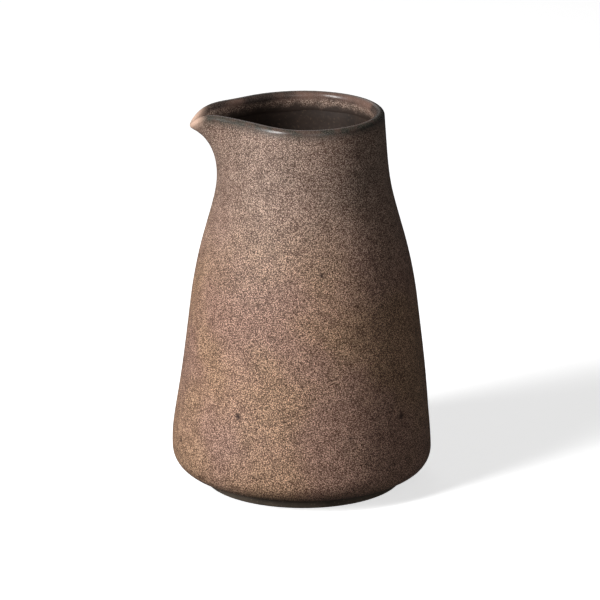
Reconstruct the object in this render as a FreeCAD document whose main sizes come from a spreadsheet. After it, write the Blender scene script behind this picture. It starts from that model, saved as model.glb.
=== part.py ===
import FreeCAD, Part
import math
import os
import Sketcher
from FreeCAD import Vector

# A wheel-thrown stoneware sake bottle with a pulled spout. The origin is the middle of
# the foot on the surface it stands on, +Z is up, and the spout points along -X.

DRIVING_SIZES = {
    # foot ring
    "foot_radius": 33.0,
    "foot_ring_width": 5.0,
    "foot_recess": 1.8,
    "foot_edge_round": 0.8,
    # outside of the turned wall, from the flare above the foot up to the neck
    "flare_angle": 23.0,
    "corner_radius": 7.5,
    "belly_radius": 43.0,
    "belly_height": 11.45,
    "belly_curve": 80.0,
    "wall_angle": 6.9,
    "shoulder_height": 62.0,
    "shoulder_curve": 153.0,
    "neck_angle": 15.1,
    # wall and floor, glaze included
    "wall_thickness": 4.3,
    "rim_thickness": 3.3,
    "floor_height": 8.2,
    "inner_corner": 9.0,
    # glaze coats
    "glaze_thickness": 0.4,
    "lining_thickness": 0.3,
    "glaze_stop_radius": 36.6,
    "lap_depth": 4.5,
    # neck and rim, on the middle line of the wall
    "rim_radius": 24.75,
    "rim_height": 124.6,
    "rim_angle": 3.5,
    "neck_pull": 19.8,
    "rim_pull": 24.3,
    # spout, its lip and the finger pinch beside it
    "spout_start": 89.5,
    "spout_reach": 11.4,
    "spout_spread": 0.09,
    "spout_power": 3.6,
    "spout_thinning": 0.28,
    "lip_drop": 5.5,
    "lip_spread": 0.024,
    "lip_power": 5.3,
    "lip_lift": 1.8,
    "lip_lift_spread": 0.062,
    "pinch_amount": 0.073,
    "pinch_place": 0.765,
    "pinch_spread": 0.4,
    "pinch_lift": 0.6,
}

# places on an outline's curve, and the outline's own origin and axes
START = 1
END = 2
CENTER = 3
ORIGIN = -1
FLAT_AXIS = -1
UPRIGHT_AXIS = -2

TINY = 1e-6
# how far a section near the join may stray from a true circle
JOIN_GAP = 0.005

doc = FreeCAD.newDocument("SakeBottle")
sheet = doc.addObject("Spreadsheet::Sheet", "Sizes")
for row, (alias, value) in enumerate(DRIVING_SIZES.items(), start=1):
    sheet.set(f"A{row}", alias)
    sheet.set(f"B{row}", str(value))
    sheet.setAlias(f"B{row}", alias)
doc.recompute()


def size(alias):
    return float(getattr(sheet, alias))


def along(center, radius, degrees):
    """The point at a distance and a direction from a centre."""
    angle = math.radians(degrees)
    return center + Vector(radius * math.cos(angle), radius * math.sin(angle), 0)


# The turned half-section.
# The outside is a chain of tangent stretches: flare, corner arc, belly arc, straight wall
# and shoulder arc. Every other surface of the wall is this chain set in by a depth.

LEAN = math.radians(size("wall_angle"))
BELLY_CENTER = Vector(size("belly_radius") - size("belly_curve"), size("belly_height"), 0)
CORNER_CENTER = Vector(size("belly_radius") - size("corner_radius"), size("belly_height"), 0)
WALL_FOOT = along(BELLY_CENTER, size("belly_curve"), size("wall_angle"))
WALL_RISE = size("shoulder_height") - WALL_FOOT.y
WALL_TOP = WALL_FOOT + Vector(-WALL_RISE * math.tan(LEAN), WALL_RISE, 0)
SHOULDER_CENTER = along(WALL_TOP, -size("shoulder_curve"), size("wall_angle"))
JOIN_OUTSIDE = along(SHOULDER_CENTER, size("shoulder_curve"), size("neck_angle"))

# The same wall in the sheet's own terms, for the sketches' constraints
WALL = "(Sizes.wall_angle * 1 deg)"
WALL_TOP_X = (
    f"(Sizes.belly_radius - Sizes.belly_curve * (1 - cos{WALL})"
    f" - (Sizes.shoulder_height - Sizes.belly_height - Sizes.belly_curve * sin{WALL})"
    f" * tan{WALL})"
)
GLAZE = "Sizes.glaze_thickness"
LINING_SINK = "(Sizes.glaze_thickness - Sizes.lining_thickness)"


class Outline:
    """A closed half-section on a body's XZ plane, with its sizes bound to the sheet."""

    def __init__(self, body, name):
        self.sketch = body.newObject("Sketcher::SketchObject", name)
        plane = next(item for item in body.Origin.OriginFeatures if item.Role == "XZ_Plane")
        self.sketch.AttachmentSupport = [(plane, "")]
        self.sketch.MapMode = "FlatFace"

    def line(self, start, end):
        return self.sketch.addGeometry(Part.LineSegment(start, end), False)

    def arc(self, center, radius, start, end):
        circle = Part.Circle(center, Vector(0, 0, 1), radius)
        curve = Part.ArcOfCircle(circle, math.radians(start), math.radians(end))
        return self.sketch.addGeometry(curve, False)

    def point(self, curve, place):
        return self.sketch.getPoint(curve, place)

    def hold(self, kind, *where):
        self.sketch.addConstraint(Sketcher.Constraint(kind, *where))

    def bind(self, kind, where, value, expression):
        index = self.sketch.addConstraint(Sketcher.Constraint(kind, *where, value))
        self.sketch.renameConstraint(index, f"{kind}{index}")
        self.sketch.setExpression(f"Constraints.{kind}{index}", expression)

    def height(self, curve, place, value, expression):
        self.bind("DistanceY", (ORIGIN, START, curve, place), value, expression)

    def radius(self, curve, value, expression):
        self.bind("Radius", (curve,), value, expression)

    def chain(self, curves):
        """Each stretch runs smoothly into the next."""
        for curve, following in zip(curves, curves[1:]):
            self.hold("Tangent", curve, END, following, START)


def add_upper_wall(outline, depth, depth_size):
    """The straight wall and the shoulder arc at one depth below the outside."""
    radius = size("shoulder_curve") - depth
    top = along(SHOULDER_CENTER, radius, size("wall_angle"))
    wall = outline.line(WALL_FOOT + (top - WALL_TOP), top)
    shoulder = outline.arc(SHOULDER_CENTER, radius, size("wall_angle"), size("neck_angle"))
    outline.radius(shoulder, radius, f"Sizes.shoulder_curve - ({depth_size})")
    outline.bind("DistanceX", (shoulder, CENTER, ORIGIN, START), -SHOULDER_CENTER.x,
                 f"Sizes.shoulder_curve * cos{WALL} - {WALL_TOP_X}")
    outline.height(shoulder, CENTER, SHOULDER_CENTER.y,
                   f"Sizes.shoulder_height - Sizes.shoulder_curve * sin{WALL}")
    outline.bind("Angle", (wall,), math.pi / 2 + LEAN, "90 deg + Sizes.wall_angle * 1 deg")
    return wall, shoulder


def add_outside(outline, depth, depth_size, flare_start):
    """The whole outside chain at one depth, from the flare's start radius to the join."""
    flare_angle = math.radians(size("flare_angle"))
    belly_radius = size("belly_curve") - depth
    corner_radius = size("corner_radius") - depth
    wall, shoulder = add_upper_wall(outline, depth, depth_size)
    belly = outline.arc(BELLY_CENTER, belly_radius, 0, size("wall_angle"))
    corner = outline.arc(CORNER_CENTER, corner_radius, size("flare_angle") - 90, 0)
    flare_end = outline.point(corner, START)
    run = flare_end.x - flare_start
    flare = outline.line(flare_end - Vector(run, run * math.tan(flare_angle), 0), flare_end)
    outline.chain([flare, corner, belly, wall, shoulder])
    outline.radius(belly, belly_radius, f"Sizes.belly_curve - ({depth_size})")
    outline.radius(corner, corner_radius, f"Sizes.corner_radius - ({depth_size})")
    outline.height(belly, CENTER, size("belly_height"), "Sizes.belly_height")
    outline.height(belly, START, size("belly_height"), "Sizes.belly_height")
    outline.bind("Angle", (flare,), flare_angle, "Sizes.flare_angle * 1 deg")
    return flare, shoulder


def add_inside(outline, sink, sink_size):
    """The inside, sunk by some depth into the wall: floor, inner corner, wall, shoulder."""
    depth = size("wall_thickness") - sink
    floor = size("floor_height") - sink
    corner_radius = size("inner_corner") + sink
    wall, shoulder = add_upper_wall(outline, depth, f"Sizes.wall_thickness - {sink_size}")
    top = outline.point(wall, END)
    center_height = floor + corner_radius
    wall_x = top.x + (top.y - center_height) * math.tan(LEAN)
    center = Vector(wall_x - corner_radius / math.cos(LEAN), center_height, 0)
    corner = outline.arc(center, corner_radius, -90, size("wall_angle"))
    bottom = outline.line(Vector(0, floor, 0), Vector(center.x, floor, 0))
    outline.chain([bottom, corner, wall, shoulder])
    outline.radius(corner, corner_radius, f"Sizes.inner_corner + {sink_size}")
    outline.hold("Horizontal", bottom)
    outline.hold("PointOnObject", bottom, START, UPRIGHT_AXIS)
    outline.height(bottom, START, floor, f"Sizes.floor_height - {sink_size}")
    return bottom, shoulder


def add_join(outline, inner_shoulder, outer_shoulder):
    """The line square to the wall where the turned part meets the neck."""
    join = outline.line(outline.point(inner_shoulder, END), outline.point(outer_shoulder, END))
    outline.hold("Coincident", join, START, inner_shoulder, END)
    outline.hold("Coincident", join, END, outer_shoulder, END)
    outline.hold("PointOnObject", outer_shoulder, CENTER, join)
    outline.bind("Angle", (join,), math.radians(size("neck_angle")), "Sizes.neck_angle * 1 deg")


def revolve(body, outline):
    turned = body.newObject("PartDesign::Revolution", f"{body.Name}Turned")
    turned.Profile = outline.sketch
    turned.ReferenceAxis = (outline.sketch, ["V_Axis"])
    turned.Angle = 360.0
    body.Tip = turned
    doc.recompute()
    return turned


def add_foot(outline, floor, flare):
    """The trimmed foot ring with its shallow recess, and the axis that closes the section."""
    recess = size("foot_recess")
    ring_inside = size("foot_radius") - size("foot_ring_width")
    corners = [
        outline.point(floor, START),
        Vector(0, recess, 0),
        Vector(ring_inside, recess, 0),
        Vector(ring_inside, 0, 0),
        Vector(size("foot_radius"), 0, 0),
        outline.point(flare, START),
    ]
    sides = [outline.line(start, end) for start, end in zip(corners, corners[1:])]
    axis, roof, ring_wall, ring_face, foot_wall = sides
    for side, following in zip(sides, sides[1:]):
        outline.hold("Coincident", side, END, following, START)
    outline.hold("Coincident", axis, START, floor, START)
    outline.hold("Coincident", foot_wall, END, flare, START)
    outline.hold("PointOnObject", roof, START, UPRIGHT_AXIS)
    outline.hold("Horizontal", roof)
    outline.hold("Vertical", ring_wall)
    outline.hold("PointOnObject", ring_face, START, FLAT_AXIS)
    outline.hold("PointOnObject", ring_face, END, FLAT_AXIS)
    outline.hold("Vertical", foot_wall)
    outline.height(roof, START, recess, "Sizes.foot_recess")
    outline.bind("Distance", (ring_face,), size("foot_ring_width"), "Sizes.foot_ring_width")
    outline.bind("DistanceX", (ORIGIN, START, ring_face, END), size("foot_radius"),
                 "Sizes.foot_radius")


def turn_clay():
    """Floor, foot ring and wall of bare clay, up to the join below the neck."""
    body = doc.addObject("PartDesign::Body", "TurnedClay")
    outline = Outline(body, "ClayOutline")
    flare, outer = add_outside(outline, size("glaze_thickness"), GLAZE, size("foot_radius"))
    floor, inner = add_inside(outline, size("glaze_thickness"), GLAZE)
    add_join(outline, inner, outer)
    add_foot(outline, floor, flare)
    turned = revolve(body, outline)
    ring_edges = [f"Edge{number}" for number, edge in enumerate(turned.Shape.Edges, start=1)
                  if edge.BoundBox.ZMax < TINY and edge.BoundBox.XLength > TINY]
    rounding = body.newObject("PartDesign::Fillet", "FootRounding")
    rounding.Base = (turned, ring_edges)
    rounding.setExpression("Radius", "Sizes.foot_edge_round")
    body.Tip = rounding
    doc.recompute()
    return body


def turn_outer_glaze():
    """The outside coat from its edge above the foot up to the join."""
    body = doc.addObject("PartDesign::Body", "TurnedGlaze")
    outline = Outline(body, "GlazeOutline")
    stop = size("glaze_stop_radius")
    inset = size("glaze_thickness") * math.sin(math.radians(size("flare_angle")))
    outer_flare, outer = add_outside(outline, 0, "0", stop)
    inner_flare, inner = add_outside(outline, size("glaze_thickness"), GLAZE, stop - inset)
    add_join(outline, inner, outer)
    edge = outline.line(outline.point(inner_flare, START), outline.point(outer_flare, START))
    outline.hold("Coincident", edge, START, inner_flare, START)
    outline.hold("Coincident", edge, END, outer_flare, START)
    outline.hold("Perpendicular", edge, outer_flare)
    outline.bind("DistanceX", (ORIGIN, START, outer_flare, START), stop, "Sizes.glaze_stop_radius")
    revolve(body, outline)
    return body


def turn_lining():
    """The inside coat over the floor and up the wall to the join."""
    body = doc.addObject("PartDesign::Body", "TurnedLining")
    outline = Outline(body, "LiningOutline")
    sink = size("glaze_thickness") - size("lining_thickness")
    floor, inner = add_inside(outline, sink, LINING_SINK)
    base, outer = add_inside(outline, size("glaze_thickness"), GLAZE)
    add_join(outline, inner, outer)
    axis = outline.line(outline.point(base, START), outline.point(floor, START))
    outline.hold("Coincident", axis, START, base, START)
    outline.hold("Coincident", axis, END, floor, START)
    revolve(body, outline)
    return body


# The neck and spout.
# The neck is drawn on the middle of its wall. A turn is the angle round the axis from +X,
# so the spout is at half a turn. A rise runs from 0 at the join to 1 at the rim.

DIFFERENCE = 1e-4
OUTER_SIDE = 1
INNER_SIDE = -1
SECTION_POINTS = 40
# how strongly the points round a section crowd towards the spout
CROWDING = 0.5
RISES = [0, 0.15, 0.32, 0.48, 0.62, 0.74, 0.84, 0.92, 1]
ROLL_STEPS = 6
LAP_RISE = 1 - size("lap_depth") / (3 * size("rim_pull"))


def middle_line(rise):
    """Radius and height of the round neck's middle line, a cubic Bezier curve."""
    start = along(JOIN_OUTSIDE, -size("wall_thickness") / 2, size("neck_angle"))
    end = Vector(size("rim_radius"), size("rim_height"), 0)
    poles = [
        start,
        along(start, size("neck_pull"), 90 + size("neck_angle")),
        along(end, -size("rim_pull"), 90 + size("rim_angle")),
        end,
    ]
    rest = 1 - rise
    weights = [rest ** 3, 3 * rest ** 2 * rise, 3 * rest * rise ** 2, rise ** 3]
    place = Vector(0, 0, 0)
    for pole, weight in zip(poles, weights):
        place += pole * weight
    return place.x, place.y


def bump(turn, spread):
    """One at the spout, falling smoothly to nothing round the neck."""
    return math.exp(-(1 + math.cos(turn)) / spread)


def climb(rise):
    """How far the wall has come from the spout's start to the rim, from 0 to 1."""
    height = middle_line(rise)[1]
    return max(0, (height - size("spout_start")) / (size("rim_height") - size("spout_start")))


def wall_middle(turn, rise):
    """A point on the middle of the neck's wall, with the spout pulled out of it."""
    radius, height = middle_line(rise)
    pull = climb(rise) ** size("spout_power")
    dip = climb(rise) ** size("lip_power")
    nose = pull * bump(turn, size("spout_spread"))
    pinch = pull * math.exp(-((math.cos(turn) + size("pinch_place")) / size("pinch_spread")) ** 2)
    height += size("pinch_lift") * pinch + size("lip_lift") * dip * bump(turn, size("lip_lift_spread"))
    height -= size("lip_drop") * dip * bump(turn, size("lip_spread"))
    return Vector(
        radius * math.cos(turn) - size("spout_reach") * nose,
        radius * math.sin(turn) * (1 - size("pinch_amount") * pinch),
        height)


def half_thickness(turn, rise):
    """Half of the glazed wall, thinner towards the rim and the spout."""
    thickness = size("wall_thickness") + (size("rim_thickness") - size("wall_thickness")) * rise
    pull = climb(rise) ** size("spout_power")
    return thickness / 2 * (1 - size("spout_thinning") * pull * bump(turn, size("spout_spread")))


def directions(turn, rise):
    """The wall's outward and upward directions at a point of its middle."""
    around = wall_middle(turn + DIFFERENCE, rise) - wall_middle(turn - DIFFERENCE, rise)
    above = wall_middle(turn, min(rise + DIFFERENCE, 1))
    below = wall_middle(turn, max(rise - DIFFERENCE, 0))
    outward = around.cross(above - below).normalize()
    return outward, outward.cross(around).normalize()


def wall_point(turn, rise, side, skin):
    """A point on one side of the neck, sunk by a skin's thickness below the glaze."""
    outward = directions(turn, rise)[0]
    return wall_middle(turn, rise) + outward * (side * (half_thickness(turn, rise) - skin))


def rim_point(turn, roll, skin):
    """A point on the rounded rim, which rolls over half a turn from outside to inside."""
    outward, upward = directions(turn, 1)
    radius = half_thickness(turn, 1) - skin
    return wall_middle(turn, 1) + (outward * math.cos(roll) + upward * math.sin(roll)) * radius


def section(point_at):
    """A closed smooth curve round the neck."""
    steps = [2 * math.pi * number / SECTION_POINTS for number in range(SECTION_POINTS + 1)]
    points = [point_at(step + CROWDING * math.sin(step)) for step in steps[:-1]]
    curve = Part.BSplineCurve()
    curve.interpolate(Points=points, PeriodicFlag=True, Parameters=steps)
    return Part.Wire(curve.toShape())


def wall_sections(rises, side, skin):
    return [section(lambda turn: wall_point(turn, rise, side, skin)) for rise in rises]


def sections_over_rim(skin):
    """Up the outside from the join, over the rim and down the inside to the lap line."""
    rolls = [math.pi * number / ROLL_STEPS for number in range(1, ROLL_STEPS)]
    rolled = [section(lambda turn: rim_point(turn, roll, skin)) for roll in rolls]
    inner_rises = [1, (1 + LAP_RISE) / 2, LAP_RISE]
    return (wall_sections(RISES, OUTER_SIDE, skin) + rolled
            + wall_sections(inner_rises, INNER_SIDE, skin))


def sections_below_lap(skin):
    """Down the inside from the lap line to the join."""
    lower_rises = [rise for rise in reversed(RISES) if rise < LAP_RISE]
    return wall_sections([LAP_RISE] + lower_rises, INNER_SIDE, skin)


def skin_through(sections):
    return Part.makeLoft(sections, False, False).Faces


def skin_over_rim(sections):
    """The outside of the neck and the rolled rim, which share the section between them."""
    rim_start = len(RISES)
    return skin_through(sections[:rim_start]) + skin_through(sections[rim_start - 1:])


def strip_between(section_one, section_two):
    return Part.makeLoft([section_one, section_two], False, True).Faces


def close_up(faces):
    """Faces that meet edge to edge, sewn into one solid."""
    quilt = Part.makeCompound(faces)
    quilt.sewShape()
    solid = Part.Solid(quilt.Shells[0])
    if solid.Volume < 0:
        solid.reverse()
    return solid


def with_neck(body, neck_faces):
    """A turned part and its stretch of the neck, made one solid across the join."""
    return body.Shape.fuse([close_up(neck_faces)], JOIN_GAP).Solids[0]


def add_piece(label, shape):
    piece = doc.addObject("Part::Feature", label)
    piece.Shape = shape
    piece.Label = label
    piece.Placement = FreeCAD.Placement()
    return piece


def build_pieces():
    lining_sink = size("glaze_thickness") - size("lining_thickness")
    glaze_over = sections_over_rim(0)
    clay_over = sections_over_rim(size("glaze_thickness"))
    lining_down = sections_below_lap(lining_sink)
    clay_down = sections_below_lap(size("glaze_thickness"))

    clay_over_skin = skin_over_rim(clay_over)
    clay_down_skin = skin_through(clay_down)
    clay_neck = clay_over_skin + clay_down_skin + strip_between(clay_over[0], clay_down[-1])
    glaze_neck = (skin_over_rim(glaze_over) + clay_over_skin
                  + strip_between(glaze_over[0], clay_over[0])
                  + strip_between(glaze_over[-1], clay_over[-1]))
    lining_neck = (skin_through(lining_down) + clay_down_skin
                   + strip_between(lining_down[0], clay_down[0])
                   + strip_between(lining_down[-1], clay_down[-1]))
    return [
        add_piece("clay_body", with_neck(turn_clay(), clay_neck)),
        add_piece("outer_glaze", with_neck(turn_outer_glaze(), glaze_neck)),
        add_piece("lining_glaze", with_neck(turn_lining(), lining_neck)),
    ]


def check(pieces):
    """Stop if anything in the document failed or a piece isn't one sound solid."""
    for item in doc.Objects:
        if "Invalid" in item.State or "Error" in item.State:
            raise RuntimeError(f"{item.Name} failed: {item.State}")
    for piece in pieces:
        shape = piece.Shape
        if shape.isNull() or not shape.isValid() or len(shape.Solids) != 1:
            raise RuntimeError(f"{piece.Label} is not one valid solid")
        print(f"{piece.Label}: {shape.Volume:.0f} cubic mm, {len(shape.Faces)} faces")


pieces = build_pieces()
doc.recompute()
check(pieces)
os.makedirs("parts", exist_ok=True)
for piece in pieces:
    piece.Shape.exportStep(f"parts/{piece.Label}.step")
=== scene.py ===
import math

import bmesh
import bpy
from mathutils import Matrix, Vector, noise


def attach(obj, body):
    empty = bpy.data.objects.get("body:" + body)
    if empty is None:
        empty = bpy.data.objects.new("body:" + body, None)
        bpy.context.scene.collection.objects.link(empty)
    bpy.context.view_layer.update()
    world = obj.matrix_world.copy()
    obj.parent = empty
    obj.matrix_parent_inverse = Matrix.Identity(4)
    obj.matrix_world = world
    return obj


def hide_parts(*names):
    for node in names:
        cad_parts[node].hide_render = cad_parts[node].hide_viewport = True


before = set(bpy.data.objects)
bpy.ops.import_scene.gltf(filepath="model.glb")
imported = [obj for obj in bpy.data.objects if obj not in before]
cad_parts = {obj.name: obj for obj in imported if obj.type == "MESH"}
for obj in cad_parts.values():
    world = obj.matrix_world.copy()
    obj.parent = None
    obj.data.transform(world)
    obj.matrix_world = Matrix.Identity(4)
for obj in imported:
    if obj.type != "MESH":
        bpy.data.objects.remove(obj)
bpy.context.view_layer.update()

mm = 0.001

# The pot's own sizes, in metres and degrees. The spout points along -X.
pot = {
    "footRadius": 33 * mm,
    "footRingWidth": 5 * mm,
    "footRecess": 1.8 * mm,
    "footRound": 0.8 * mm,
    "flareAngle": 23,
    "cornerRadius": 7.5 * mm,
    "bellyRadius": 43 * mm,
    "bellyHeight": 11.45 * mm,
    "bellyCurve": 80 * mm,
    "wallAngle": 6.9,
    "shoulderHeight": 62 * mm,
    "shoulderCurve": 153 * mm,
    "neckAngle": 15.1,
    "wallThickness": 4.3 * mm,
    "rimThickness": 3.3 * mm,
    "floorHeight": 8.2 * mm,
    "innerCorner": 9 * mm,
    "glaze": 0.4 * mm,
    "liningSink": 0.1 * mm,
    "glazeStop": 36.6 * mm,
    "edgeRoll": 0.5 * mm,
    "footDrift": 0.5 * mm,
    "lapDepth": 4.5 * mm,
    "rimRadius": 24.75 * mm,
    "rimHeight": 124.6 * mm,
    "rimAngle": 3.5,
    "neckPull": 19.8 * mm,
    "rimPull": 24.3 * mm,
}
spout = {
    "start": 89.5 * mm,
    "reach": 11.4 * mm,
    "spread": 0.09,
    "power": 3.6,
    "thinning": 0.28,
    "lipDrop": 5.5 * mm,
    "lipSpread": 0.024,
    "lipPower": 5.3,
    "lipLift": 1.8 * mm,
    "lipLiftSpread": 0.062,
    "pinch": 0.073,
    "pinchPlace": 0.765,
    "pinchSpread": 0.4,
    "pinchLift": 0.6 * mm,
}


def along(start, distance, degrees):
    angle = math.radians(degrees)
    return start + distance * Vector((math.cos(angle), math.sin(angle)))


def direction(degrees):
    return along(Vector((0, 0)), 1, degrees)


# Centres of the outline's arcs and the ends of its straight wall, as (radius, height)
bellyCenter = Vector((pot["bellyRadius"] - pot["bellyCurve"], pot["bellyHeight"]))
cornerCenter = Vector((pot["bellyRadius"] - pot["cornerRadius"], pot["bellyHeight"]))
wallFoot = along(bellyCenter, pot["bellyCurve"], pot["wallAngle"])
wallRise = pot["shoulderHeight"] - wallFoot.y
wallTop = wallFoot + Vector((-wallRise * math.tan(math.radians(pot["wallAngle"])), wallRise))
shoulderCenter = along(wallTop, -pot["shoulderCurve"], pot["wallAngle"])
joinOutside = along(shoulderCenter, pot["shoulderCurve"], pot["neckAngle"])


def wave(turn, size, seed):
    # a slow wander round the pot, the same after a full turn
    place = Vector((2 * math.cos(turn), 2 * math.sin(turn), seed))
    return size * noise.noise(place)


def turnedStation(spot, outward, drift=0):
    # drift slides the station along the wall, by an amount that wanders round the pot
    tangent = Vector((-outward.y, outward.x))

    def place(turn, skin):
        point = spot - outward * skin + tangent * wave(turn, drift, 3.1)
        return Vector((point.x * math.cos(turn), point.x * math.sin(turn), point.y))
    return place


def arcStations(center, radius, start, end, count, facing=1):
    angles = [start + (end - start) * step / count for step in range(count + 1)]
    return [turnedStation(along(center, radius, angle), facing * direction(angle)) for angle in angles]


def lineStations(start, end, outward, count, drift=0):
    spots = [start.lerp(end, step / count) for step in range(count + 1)]
    return [turnedStation(spot, outward, drift) for spot in spots]


def middleLine(rise):
    # the neck's wall before the spout is pulled: a cubic curve from the join to the rim
    start = along(joinOutside, -pot["wallThickness"] / 2, pot["neckAngle"])
    end = Vector((pot["rimRadius"], pot["rimHeight"]))
    lower = along(start, pot["neckPull"], 90 + pot["neckAngle"])
    upper = along(end, -pot["rimPull"], 90 + pot["rimAngle"])
    rest = 1 - rise
    return rest ** 3 * start + 3 * rest ** 2 * rise * lower + 3 * rest * rise ** 2 * upper + rise ** 3 * end


def bump(turn, spread):
    return math.exp(-(1 + math.cos(turn)) / spread)


def climb(height):
    return max(0, (height - spout["start"]) / (pot["rimHeight"] - spout["start"]))


def wallMiddle(turn, rise):
    radius, height = middleLine(rise)
    pull = climb(height) ** spout["power"]
    dip = climb(height) ** spout["lipPower"]
    nose = pull * bump(turn, spout["spread"])
    pinch = pull * math.exp(-((math.cos(turn) + spout["pinchPlace"]) / spout["pinchSpread"]) ** 2)
    height += spout["pinchLift"] * pinch + spout["lipLift"] * dip * bump(turn, spout["lipLiftSpread"])
    height -= spout["lipDrop"] * dip * bump(turn, spout["lipSpread"])
    return Vector((
        radius * math.cos(turn) - spout["reach"] * nose,
        radius * math.sin(turn) * (1 - spout["pinch"] * pinch),
        height))


def halfThickness(turn, rise):
    pull = climb(middleLine(rise).y) ** spout["power"]
    thickness = pot["wallThickness"] + (pot["rimThickness"] - pot["wallThickness"]) * rise
    return thickness / 2 * (1 - spout["thinning"] * pull * bump(turn, spout["spread"]))


def wallFrame(turn, rise):
    # the wall's middle with its outward and upward directions
    nudge = 1e-3
    middle = wallMiddle(turn, rise)
    around = wallMiddle(turn + nudge, rise) - wallMiddle(turn - nudge, rise)
    upward = wallMiddle(turn, min(rise + nudge, 1)) - wallMiddle(turn, max(rise - nudge, 0))
    outward = around.cross(upward).normalized()
    return middle, outward, outward.cross(around).normalized()


def neckStation(rise, side, drift=0):
    def place(turn, skin):
        moved = rise + wave(turn, drift, 5.7)
        middle, outward, upward = wallFrame(turn, moved)
        return middle + outward * (side * (halfThickness(turn, moved) - skin))
    return place


def rimStation(roll):
    def place(turn, skin):
        middle, outward, upward = wallFrame(turn, 1)
        radius = halfThickness(turn, 1) - skin
        return middle + (outward * math.cos(roll) + upward * math.sin(roll)) * radius
    return place


flareOut = direction(pot["flareAngle"] - 90)
flareEnd = along(cornerCenter, pot["cornerRadius"], pot["flareAngle"] - 90)
flareSlope = math.tan(math.radians(pot["flareAngle"]))


def flareAt(radius):
    return Vector((radius, flareEnd.y - (flareEnd.x - radius) * flareSlope))


# how finely the skins are drawn
steps = {"neck": 40, "rim": 14, "mouth": 6, "insideNeck": 34, "roundedEdge": 4}
neckRises = [step / steps["neck"] for step in range(1, steps["neck"] + 1)]


def outsideStations():
    turned = lineStations(flareAt(pot["glazeStop"] + pot["edgeRoll"]), flareEnd, flareOut, 2)
    turned += arcStations(cornerCenter, pot["cornerRadius"], pot["flareAngle"] - 90, 0, 14)[1:]
    turned += arcStations(bellyCenter, pot["bellyCurve"], 0, pot["wallAngle"], 8)[1:]
    turned += lineStations(wallFoot, wallTop, direction(pot["wallAngle"]), 30)[1:]
    turned += arcStations(shoulderCenter, pot["shoulderCurve"], pot["wallAngle"], pot["neckAngle"], 16)[1:]
    return turned + [neckStation(rise, 1) for rise in neckRises]


def rimStations():
    return [rimStation(math.pi * step / steps["rim"]) for step in range(1, steps["rim"])]


# the lap line's rise on the neck, and how far along the neck it wanders
lapRise = 1 - pot["lapDepth"] / (3 * pot["rimPull"])
lapDrift = 0.012


def mouthStations():
    shares = [step / steps["mouth"] for step in range(steps["mouth"] + 1)]
    return [neckStation(1 - (1 - lapRise) * share, -1, lapDrift * share) for share in shares]


def insideStations():
    # from the lap line down the neck and the wall to the middle of the floor
    shares = [1 - step / steps["insideNeck"] for step in range(steps["insideNeck"] + 1)]
    neck = [neckStation(lapRise * share, -1, lapDrift * share ** 3) for share in shares]
    depth = pot["wallThickness"]
    lean = pot["wallAngle"]
    radius = pot["shoulderCurve"] - depth
    shoulder = arcStations(shoulderCenter, radius, pot["neckAngle"], lean, 10, -1)[1:]
    top = along(shoulderCenter, radius, lean)
    centerHeight = pot["floorHeight"] + pot["innerCorner"]
    wallX = top.x + (top.y - centerHeight) * math.tan(math.radians(lean))
    center = Vector((wallX - pot["innerCorner"] / math.cos(math.radians(lean)), centerHeight))
    foot = along(center, pot["innerCorner"], lean)
    wall = lineStations(top, foot, -direction(lean), 20)[1:]
    corner = arcStations(center, pot["innerCorner"], lean, -90, 12, -1)[1:]
    floor = lineStations(Vector((center.x, pot["floorHeight"])), Vector((0, pot["floorHeight"])),
                         Vector((0, 1)), 10)[1:]
    return neck + shoulder + wall + corner + floor


def footStations():
    # from the middle of the recess round the foot ring to the underside of the flare
    ringInside = pot["footRadius"] - pot["footRingWidth"]
    recess = pot["footRecess"]
    soft = pot["footRound"]
    down = Vector((0, -1))
    roof = lineStations(Vector((0, recess)), Vector((ringInside - 1 * mm, recess)), down, 8)
    inner = arcStations(Vector((ringInside + soft, soft)), soft, 180, 270, 5)
    outer = arcStations(Vector((pot["footRadius"] - soft, soft)), soft, 270, 360, 5)
    underside = flareAt(pot["footRadius"]) - flareOut * pot["glaze"]
    wall = lineStations(Vector((pot["footRadius"], soft)), underside, Vector((1, 0)), 4)[1:]
    flare = flareAt(pot["glazeStop"]) - flareOut * pot["glaze"]
    return roof + inner + outer + wall + lineStations(underside, flare, flareOut, 4)[1:]


# the thrown wall is a little fuller on the spout's side, low on the belly
belly = {"lean": 0.85 * mm, "height": 17 * mm, "spread": 16 * mm}


# how strongly the columns of a skin crowd towards the spout
crowding = 0.4

# corners nearer than this are one corner, and an edge shorter than the second has no length
sameCorner, noLength = 1e-7, 1e-8


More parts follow.
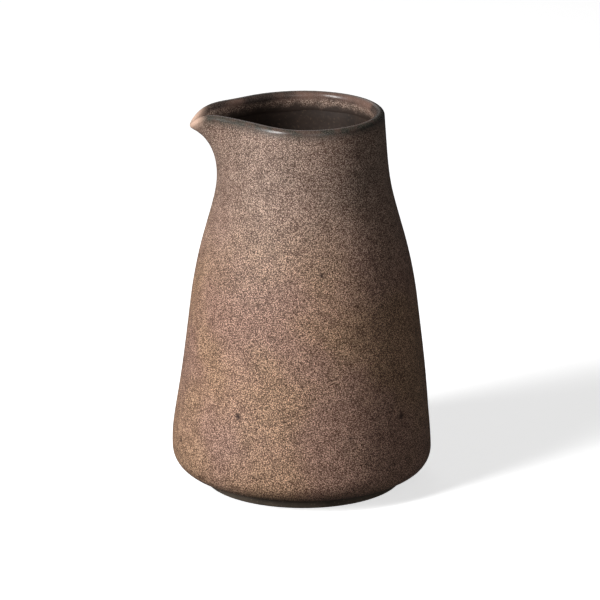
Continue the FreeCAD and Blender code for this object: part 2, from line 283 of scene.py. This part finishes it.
def gridSkin(name, rows, columns):
    # a grid wrapped round the pot: a row for each (station, skin, rim share, lap share)
    mesh = bmesh.new()
    bmesh.ops.create_grid(mesh, x_segments=columns, y_segments=len(rows) - 1, size=1)
    rimShare = mesh.verts.layers.float.new("rimShare")
    lapShare = mesh.verts.layers.float.new("lapShare")
    points = {}
    for index, (station, skin, rim, lap) in enumerate(rows):
        for column in range(columns):
            step = 2 * math.pi * column / columns
            points[index, column] = station(step + crowding * math.sin(step), skin)
    for vert in mesh.verts:
        column = round((vert.co.x + 1) / 2 * columns) % columns
        index = round((vert.co.y + 1) / 2 * (len(rows) - 1))
        vert.co = points[index, column]
        vert.co.x -= belly["lean"] * math.exp(-((vert.co.z - belly["height"]) / belly["spread"]) ** 2)
        vert[rimShare], vert[lapShare] = rows[index][2:]
    bmesh.ops.remove_doubles(mesh, verts=mesh.verts, dist=sameCorner)
    bmesh.ops.dissolve_degenerate(mesh, edges=mesh.edges, dist=noLength)
    bmesh.ops.recalc_face_normals(mesh, faces=mesh.faces)
    for face in mesh.faces:
        face.smooth = True
    data = bpy.data.meshes.new(name)
    mesh.to_mesh(data)
    mesh.free()
    piece = bpy.data.objects.new(name, data)
    bpy.context.collection.objects.link(piece)
    print(name, len(data.polygons), "faces")
    return piece


# The coats sink into the clay by the grip. The rim's band of thin melt starts this far down
# outside with its starting share, and loses a fade for each row down the mouth.
coat = {
    "columns": 256,
    "innerColumns": 192,
    "hiddenStep": 4,
    "grip": 0.02 * mm,
    "rimBand": 3.6 * mm,
    "rimBandShare": 0.75,
    "mouthFade": 0.45,
    "lapRoll": 0.004,
    "liningRow": 0.999,
}


def roundedEnd(stations, depth, lap):
    # the coat's own rounded edge, rolling from its face down to the clay
    return [(station, depth * (1 - math.cos(math.pi / 2 * step / len(stations))), 0, lap)
            for step, station in enumerate(stations, start=1)]


def rolledPlaces():
    # how far each row of a rounded edge has gone along its roll
    last = steps["roundedEdge"]
    return [math.sin(math.pi / 2 * step / last) for step in range(1, last + 1)]


def buildCoat():
    depth = pot["glaze"] + coat["grip"]
    # the lap's share runs from -1 outside over the rim to 0, then down the mouth to 1
    stations = outsideStations()
    bandRise = coat["rimBand"] / (3 * pot["rimPull"])
    neckShares = [max(0, 1 - (1 - rise) / bandRise) * coat["rimBandShare"] for rise in neckRises]
    rimShares = [0] * (len(stations) - len(neckRises)) + neckShares
    outside = [(station, 0, share, -1) for station, share in zip(stations, rimShares)]
    rim = [(station, 0, 1, step / steps["rim"] - 1)
           for step, station in enumerate(rimStations(), start=1)]
    inner = [(station, 0, max(0, 1 - coat["mouthFade"] * step), step / steps["mouth"])
             for step, station in enumerate(mouthStations())]
    lapEnds = [neckStation(lapRise - coat["lapRoll"] * rolled, -1, lapDrift) for rolled in rolledPlaces()]
    footSpots = [flareAt(pot["glazeStop"] + pot["edgeRoll"] * (1 - rolled)) for rolled in rolledPlaces()]
    footEnds = [turnedStation(spot, flareOut, pot["footDrift"]) for spot in footSpots]
    footEdge = roundedEnd(footEnds, depth, -1)[::-1]
    hidden = [(station, depth, 0, 0) for station, *shares in
              (outside + rim + inner)[::-coat["hiddenStep"]]]
    rows = footEdge + outside + rim + inner + roundedEnd(lapEnds, depth, 1) + hidden
    return gridSkin("glaze_coat", rows + rows[:1], coat["columns"])


def buildLining():
    inside = insideStations()
    # a row close under the upper edge keeps that edge's shading to itself
    inside.insert(1, neckStation(lapRise * coat["liningRow"], -1, lapDrift))
    face = [(station, pot["liningSink"], 0, 1) for station in inside]
    back = [(station, pot["glaze"] + coat["grip"], 0, 1) for station in inside[::-coat["hiddenStep"]]]
    return gridSkin("liner", face + back + face[:1], coat["innerColumns"])


def buildClay():
    foot = [(station, 0, 0, 0) for station in footStations()]
    wall = outsideStations() + rimStations() + mouthStations() + insideStations()
    rows = foot + [(station, pot["glaze"], 0, 0) for station in wall]
    return gridSkin("clay_pot", rows, coat["innerColumns"])


def hexColor(text):
    parts = [int(text[start:start + 2], 16) / 255 for start in (1, 3, 5)]
    linear = [part / 12.92 if part <= 0.04045 else ((part + 0.055) / 1.055) ** 2.4 for part in parts]
    return (*linear, 1)


def addNode(tree, kind, inputs=None, output=0, **settings):
    # a node with its settings; an input given as a socket is linked, and one output comes back
    made = tree.nodes.new(kind)
    for name, value in settings.items():
        setattr(made, name, value)
    for name, value in (inputs or {}).items():
        if isinstance(value, bpy.types.NodeSocket):
            tree.links.new(value, made.inputs[name])
        else:
            made.inputs[name].default_value = value
    return made.outputs[output]


def startMaterial(name):
    material = bpy.data.materials.new(name)
    material.use_nodes = True
    tree = material.node_tree
    place = addNode(tree, "ShaderNodeTexCoord", output="Object")
    return material, tree, tree.nodes["Principled BSDF"], place


# A Mix node's sockets when it mixes colours: its factor, its two colours and its result
factor, first, second, mixed = 0, 6, 7, 2


# Iron spots that bled through the glaze: angle round the pot, height and width
ironSpots = [
    {"turn": 279.5, "height": 80.1 * mm, "width": 1.5 * mm},
    {"turn": 238.5, "height": 32.7 * mm, "width": 1.9 * mm},
    {"turn": 201.3, "height": 18.1 * mm, "width": 2.0 * mm},
    {"turn": 320.7, "height": 29.9 * mm, "width": 2.3 * mm},
    {"turn": 291.3, "height": 26.2 * mm, "width": 1.2 * mm},
    {"turn": 20, "height": 55 * mm, "width": 1.2 * mm},
    {"turn": 74, "height": 28 * mm, "width": 1.4 * mm},
    {"turn": 128, "height": 88 * mm, "width": 1.0 * mm},
    {"turn": 161, "height": 41 * mm, "width": 1.3 * mm},
]


def outsideRadius(height):
    if height > joinOutside.y:
        return joinOutside.x - (height - joinOutside.y) * math.tan(math.radians(pot["neckAngle"]))
    if height > wallTop.y:
        return shoulderCenter.x + math.sqrt(pot["shoulderCurve"] ** 2 - (height - shoulderCenter.y) ** 2)
    return wallTop.x + (wallTop.y - height) * math.tan(math.radians(pot["wallAngle"]))


def spotMask(tree, place):
    # one in the middle of an iron spot and nothing away from them all, with ragged edges
    ragged = addNode(tree, "ShaderNodeTexNoise", {
        "Vector": place, "Scale": 1 / (0.7 * mm), "Detail": 3, "Roughness": 0.5})
    total = 0.0
    for spot in ironSpots:
        turn = math.radians(spot["turn"])
        radius = outsideRadius(spot["height"])
        center = (radius * math.cos(turn), radius * math.sin(turn), spot["height"])
        away = addNode(tree, "ShaderNodeVectorMath", {0: place, 1: center}, "Value", operation="DISTANCE")
        reach = addNode(tree, "ShaderNodeMath", {0: ragged, 1: -spot["width"], 2: away},
                        operation="MULTIPLY_ADD")
        mask = addNode(tree, "ShaderNodeMapRange", {
            "Value": reach, "From Min": -0.45 * spot["width"], "From Max": 0.35 * spot["width"],
            "To Min": 1, "To Max": 0}, interpolation_type="SMOOTHSTEP")
        total = addNode(tree, "ShaderNodeMath", {0: mask, 1: total}, operation="MAXIMUM")
    return total


def speckledGlaze():
    # Iron stoneware glaze with titania, fired matt in reduction. Pale crystals crowd over a
    # dark brown melt, so the eye sees fine salt-and-pepper that thins to bare melt on edges.
    material, tree, shader, place = startMaterial("speckled_glaze")
    crystals = addNode(tree, "ShaderNodeTexNoise", {
        "Vector": place, "Scale": 1 / (0.25 * mm), "Detail": 2, "Roughness": 0.6})
    cells = addNode(tree, "ShaderNodeTexVoronoi", {"Vector": place, "Scale": 1 / (0.47 * mm)})
    patches = addNode(tree, "ShaderNodeTexNoise", {
        "Vector": place, "Scale": 1 / (4 * mm), "Detail": 3, "Roughness": 0.6})
    clouds = addNode(tree, "ShaderNodeTexNoise", {
        "Vector": place, "Scale": 1 / (17 * mm), "Detail": 3, "Roughness": 0.55})
    drifts = addNode(tree, "ShaderNodeTexNoise", {
        "Vector": place, "Scale": 1 / (34 * mm), "Detail": 2, "Roughness": 0.5})

    # pale flecks in cells of half a millimetre, about as fine as still shows from the camera,
    # with finer crystals between them, grown thicker in some patches
    flecks = addNode(tree, "ShaderNodeMapRange", {
        "Value": cells, "From Min": 0.25, "From Max": 0.48, "To Min": 0.68, "To Max": 0},
        interpolation_type="SMOOTHSTEP")
    crowd = addNode(tree, "ShaderNodeMapRange", {
        "Value": crystals, "From Min": 0.44, "From Max": 0.6}, interpolation_type="SMOOTHSTEP")
    salt = addNode(tree, "ShaderNodeMath", {0: crowd, 1: 0.48, 2: flecks}, operation="MULTIPLY_ADD")
    grown = addNode(tree, "ShaderNodeMapRange", {
        "Value": patches, "From Min": 0.35, "From Max": 0.65, "To Min": 0.78, "To Max": 1.15},
        interpolation_type="SMOOTHSTEP")
    pale = addNode(tree, "ShaderNodeMath", {0: salt, 1: grown}, operation="MULTIPLY")

    # the melt and the crystals each shift in tone; the crystals are also painted greyer and darker towards
    # the neck, a painted shade standing in for the shade under the spout
    meltShift = addNode(tree, "ShaderNodeMapRange", {
        "Value": clouds, "From Min": 0.35, "From Max": 0.65}, interpolation_type="SMOOTHSTEP")
    melt = addNode(tree, "ShaderNodeMix", {
        factor: meltShift, first: hexColor("#382114"), second: hexColor("#462A1E")},
        mixed, data_type="RGBA")
    warmShift = addNode(tree, "ShaderNodeMapRange", {
        "Value": drifts, "From Min": 0.4, "From Max": 0.62}, interpolation_type="SMOOTHSTEP")
    warm = addNode(tree, "ShaderNodeMix", {
        factor: warmShift, first: hexColor("#EABF9C"), second: hexColor("#E0B6A0")},
        mixed, data_type="RGBA")
    height = addNode(tree, "ShaderNodeSeparateXYZ", {0: place}, "Z")
    upper = addNode(tree, "ShaderNodeMapRange", {
        "Value": height, "From Min": 60 * mm, "From Max": 112 * mm}, interpolation_type="SMOOTHSTEP")
    # painted shade: from 60 mm up the crystals mix towards a greyer, darker tone, as the shade under the
    # spout
    shadedCrystal = addNode(tree, "ShaderNodeMix", {
        factor: upper, first: warm, second: hexColor("#D0B5A3")}, mixed, data_type="RGBA")
    speckled = addNode(tree, "ShaderNodeMix", {
        factor: pale, first: melt, second: shadedCrystal}, mixed, data_type="RGBA")

    # inside the mouth the coat thins to nothing and the liner's dark melt shows through
    lap = addNode(tree, "ShaderNodeAttribute", output="Fac", attribute_name="lapShare")
    lapped = addNode(tree, "ShaderNodeMath", {0: patches, 1: 1.1, 2: lap}, operation="MULTIPLY_ADD")
    lapShift = addNode(tree, "ShaderNodeMapRange", {
        "Value": lapped, "From Min": 0.65, "From Max": 1.4}, interpolation_type="SMOOTHSTEP")
    body = addNode(tree, "ShaderNodeMix", {
        factor: lapShift, first: speckled, second: hexColor("#2E221B")}, mixed, data_type="RGBA")

    # the melt runs thin over the rim, where few crystals form and it stays smooth:
    # greenish outside, browner inwards
    rim = addNode(tree, "ShaderNodeAttribute", output="Fac", attribute_name="rimShare")
    wander = addNode(tree, "ShaderNodeMath", {0: patches, 1: 0.9, 2: rim}, operation="MULTIPLY_ADD")
    thin = addNode(tree, "ShaderNodeMapRange", {
        "Value": wander, "From Min": 0.55, "From Max": 1.45}, interpolation_type="SMOOTHSTEP")
    outerShift = addNode(tree, "ShaderNodeMapRange", {
        "Value": patches, "From Min": 0.4, "From Max": 0.62}, interpolation_type="SMOOTHSTEP")
    rimOuter = addNode(tree, "ShaderNodeMix", {
        factor: outerShift, first: hexColor("#343530"), second: hexColor("#50413A")},
        mixed, data_type="RGBA")
    innerShift = addNode(tree, "ShaderNodeMapRange", {
        "Value": clouds, "From Min": 0.38, "From Max": 0.6}, interpolation_type="SMOOTHSTEP")
    rimInner = addNode(tree, "ShaderNodeMix", {
        factor: innerShift, first: hexColor("#3A302D"), second: hexColor("#72594F")},
        mixed, data_type="RGBA")
    inwards = addNode(tree, "ShaderNodeMapRange", {
        "Value": lap, "From Min": -0.75, "From Max": -0.2}, interpolation_type="SMOOTHSTEP")
    rimMelt = addNode(tree, "ShaderNodeMix", {
        factor: inwards, first: rimOuter, second: rimInner}, mixed, data_type="RGBA")
    rimCrystals = addNode(tree, "ShaderNodeMapRange", {
        "Value": crystals, "From Min": 0.45, "From Max": 0.75, "To Min": 0, "To Max": 0.5},
        interpolation_type="SMOOTHSTEP")
    rimColor = addNode(tree, "ShaderNodeMix", {
        factor: rimCrystals, first: rimMelt, second: hexColor("#8A7B6E")}, mixed, data_type="RGBA")

    # worn to a paler pink at the tip of the spout
    reach = addNode(tree, "ShaderNodeSeparateXYZ", {0: place}, "X")
    tip = addNode(tree, "ShaderNodeMapRange", {
        "Value": reach, "From Min": -36 * mm, "From Max": -31 * mm, "To Min": 1, "To Max": 0},
        interpolation_type="SMOOTHSTEP")
    tipColor = addNode(tree, "ShaderNodeMix", {
        factor: crystals, first: hexColor("#B48E7A"), second: hexColor("#ECCDB8")},
        mixed, data_type="RGBA")
    edge = addNode(tree, "ShaderNodeMix", {
        factor: tip, first: rimColor, second: tipColor}, mixed, data_type="RGBA")
    glazed = addNode(tree, "ShaderNodeMix", {
        factor: thin, first: body, second: edge}, mixed, data_type="RGBA")
    spots = spotMask(tree, place)
    color = addNode(tree, "ShaderNodeMix", {
        factor: spots, first: glazed, second: hexColor("#33201A")}, mixed, data_type="RGBA")
    tree.links.new(color, shader.inputs["Base Color"])

    # crystals are dry, the thin melt is satin
    dry = addNode(tree, "ShaderNodeMath", {0: pale, 1: 0.14, 2: 0.58}, operation="MULTIPLY_ADD")
    satin = addNode(tree, "ShaderNodeMath", {0: thin, 1: -0.34, 2: dry}, operation="MULTIPLY_ADD")
    tree.links.new(satin, shader.inputs["Roughness"])
    shader.inputs["IOR"].default_value = 1.5
    shader.inputs["Specular IOR Level"].default_value = 0.38
    thick = addNode(tree, "ShaderNodeMath", {0: 1, 1: thin}, operation="SUBTRACT")
    raised = addNode(tree, "ShaderNodeMath", {0: pale, 1: thick}, operation="MULTIPLY")
    relief = addNode(tree, "ShaderNodeMath", {0: spots, 1: -0.8, 2: raised}, operation="MULTIPLY_ADD")
    bumped = addNode(tree, "ShaderNodeBump", {"Height": relief, "Strength": 0.45, "Distance": 0.06 * mm})
    tree.links.new(bumped, shader.inputs["Normal"])
    return material


def linerGlaze():
    # The same iron melt poured inside thin: dark, satin, with faint turning lines under it.
    material, tree, shader, place = startMaterial("liner_glaze")
    clouds = addNode(tree, "ShaderNodeTexNoise", {
        "Vector": place, "Scale": 1 / (12 * mm), "Detail": 4, "Roughness": 0.6})
    fine = addNode(tree, "ShaderNodeTexNoise", {
        "Vector": place, "Scale": 1 / (0.8 * mm), "Detail": 2, "Roughness": 0.6})
    meltShift = addNode(tree, "ShaderNodeMapRange", {
        "Value": clouds, "From Min": 0.35, "From Max": 0.65}, interpolation_type="SMOOTHSTEP")
    deep = addNode(tree, "ShaderNodeMix", {
        factor: meltShift, first: hexColor("#231A15"), second: hexColor("#31251E")},
        mixed, data_type="RGBA")
    flecks = addNode(tree, "ShaderNodeMapRange", {
        "Value": fine, "From Min": 0.55, "From Max": 0.75, "To Min": 0, "To Max": 0.35},
        interpolation_type="SMOOTHSTEP")
    color = addNode(tree, "ShaderNodeMix", {
        factor: flecks, first: deep, second: hexColor("#65513F")}, mixed, data_type="RGBA")
    tree.links.new(color, shader.inputs["Base Color"])
    satin = addNode(tree, "ShaderNodeMapRange", {
        "Value": fine, "From Min": 0.3, "From Max": 0.7, "To Min": 0.5, "To Max": 0.62},
        interpolation_type="SMOOTHSTEP")
    tree.links.new(satin, shader.inputs["Roughness"])
    shader.inputs["IOR"].default_value = 1.5
    # the throwing rings are 5.2 mm apart, where a band repeats every pi / 10 of the scaled height
    rings = addNode(tree, "ShaderNodeTexWave", {
        "Vector": place, "Scale": math.pi / (10 * 5.236 * mm), "Distortion": 1.5, "Detail": 2},
        "Fac", bands_direction="Z")
    bumped = addNode(tree, "ShaderNodeBump", {"Height": rings, "Strength": 0.3, "Distance": 0.15 * mm})
    tree.links.new(bumped, shader.inputs["Normal"])
    return material


def bareClay():
    # Groggy stoneware fired dark in reduction, trimmed with a tool: dry, gritty, grey-brown.
    material, tree, shader, place = startMaterial("bare_clay")
    tone = addNode(tree, "ShaderNodeTexNoise", {
        "Vector": place, "Scale": 1 / (9 * mm), "Detail": 4, "Roughness": 0.6})
    grit = addNode(tree, "ShaderNodeTexVoronoi", {"Vector": place, "Scale": 1 / (1.1 * mm)})
    sand = addNode(tree, "ShaderNodeTexNoise", {
        "Vector": place, "Scale": 1 / (0.5 * mm), "Detail": 3, "Roughness": 0.7})
    bodyShift = addNode(tree, "ShaderNodeMapRange", {
        "Value": tone, "From Min": 0.35, "From Max": 0.65}, interpolation_type="SMOOTHSTEP")
    body = addNode(tree, "ShaderNodeMix", {
        factor: bodyShift, first: hexColor("#4D443A"), second: hexColor("#62564A")},
        mixed, data_type="RGBA")
    grog = addNode(tree, "ShaderNodeMapRange", {
        "Value": grit, "From Min": 0.12, "From Max": 0.3, "To Min": 0.6, "To Max": 0},
        interpolation_type="SMOOTHSTEP")
    color = addNode(tree, "ShaderNodeMix", {
        factor: grog, first: body, second: hexColor("#8C7B69")}, mixed, data_type="RGBA")
    tree.links.new(color, shader.inputs["Base Color"])
    shader.inputs["Roughness"].default_value = 0.88
    shader.inputs["IOR"].default_value = 1.5
    rough = addNode(tree, "ShaderNodeMath", {0: sand, 1: grog}, operation="ADD")
    bumped = addNode(tree, "ShaderNodeBump", {"Height": rough, "Strength": 0.5, "Distance": 0.1 * mm})
    tree.links.new(bumped, shader.inputs["Normal"])
    return material


def finishPiece(piece, node, material):
    piece.data.materials.append(material)
    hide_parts(node)
    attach(piece, "root")


view = {
    "elevation": 17.2,
    "distance": 1.65,
    "aimHeight": 66 * mm,
    "lens": 300,
    "sensor": 36,
    "shift": (-0.0066667, -0.0223333),
}


def makeCamera():
    data = bpy.data.cameras.new("camera")
    data.lens = view["lens"]
    data.sensor_width = view["sensor"]
    data.shift_x, data.shift_y = view["shift"]
    camera = bpy.data.objects.new("camera", data)
    tilt = math.radians(view["elevation"])
    camera.location = (0, -view["distance"] * math.cos(tilt),
                       view["aimHeight"] + view["distance"] * math.sin(tilt))
    camera.rotation_euler = (math.pi / 2 - tilt, 0, 0)
    bpy.context.collection.objects.link(camera)
    bpy.context.scene.camera = camera


# Soft boxes: turn from +X, elevation, distance, size and power
softBoxes = [
    {"name": "key", "turn": 218, "elevation": 30, "distance": 1.1, "size": (0.28, 0.7), "power": 17.2},
    {"name": "rim_fill", "turn": 100, "elevation": 35, "distance": 1.3, "size": (0.6, 0.6), "power": 1},
    {"name": "front_fill", "turn": 288, "elevation": 20, "distance": 1.4, "size": (0.8, 0.8), "power": 2.8},
]


studio = {
    "lightsAimAt": 60 * mm,
    "worldStrength": 0.05,
    "floorHalfWidth": 6,
    "floorGlow": 0.66,
}


def makeLights():
    for box in softBoxes:
        data = bpy.data.lights.new(box["name"], "AREA")
        data.shape = "RECTANGLE"
        data.size, data.size_y = box["size"]
        data.energy = box["power"]
        light = bpy.data.objects.new(box["name"], data)
        turn = math.radians(box["turn"])
        tilt = math.radians(box["elevation"])
        away = Vector((math.cos(turn) * math.cos(tilt), math.sin(turn) * math.cos(tilt), math.sin(tilt)))
        light.location = Vector((0, 0, studio["lightsAimAt"])) + away * box["distance"]
        light.rotation_euler = away.to_track_quat("Z", "Y").to_euler()
        bpy.context.collection.objects.link(light)
    world = bpy.data.worlds.new("studio")
    world.use_nodes = True
    world.node_tree.nodes["Background"].inputs["Color"].default_value = (1, 1, 1, 1)
    world.node_tree.nodes["Background"].inputs["Strength"].default_value = studio["worldStrength"]
    bpy.context.scene.world = world


def makeFloor():
    mesh = bmesh.new()
    bmesh.ops.create_grid(mesh, x_segments=1, y_segments=1, size=studio["floorHalfWidth"])
    data = bpy.data.meshes.new("floor")
    mesh.to_mesh(data)
    mesh.free()
    floor = bpy.data.objects.new("floor", data)
    bpy.context.collection.objects.link(floor)
    material = bpy.data.materials.new("pale_floor")
    material.use_nodes = True
    shader = material.node_tree.nodes["Principled BSDF"]
    shader.inputs["Base Color"].default_value = (0.9, 0.9, 0.9, 1)
    shader.inputs["Roughness"].default_value = 0.9
    shader.inputs["Emission Color"].default_value = (1, 1, 1, 1)
    shader.inputs["Emission Strength"].default_value = studio["floorGlow"]
    data.materials.append(material)
    # the floor stays out of the pot's own light, as a cut-out backdrop does
    floor.visible_diffuse = False
    floor.visible_glossy = False


makeCamera()
finishPiece(buildCoat(), "outer_glaze", speckledGlaze())
finishPiece(buildLining(), "lining_glaze", linerGlaze())
finishPiece(buildClay(), "clay_body", bareClay())
print("pieces built")
makeLights()
makeFloor()
bpy.context.scene.view_settings.view_transform = "Standard"
print("studio built")
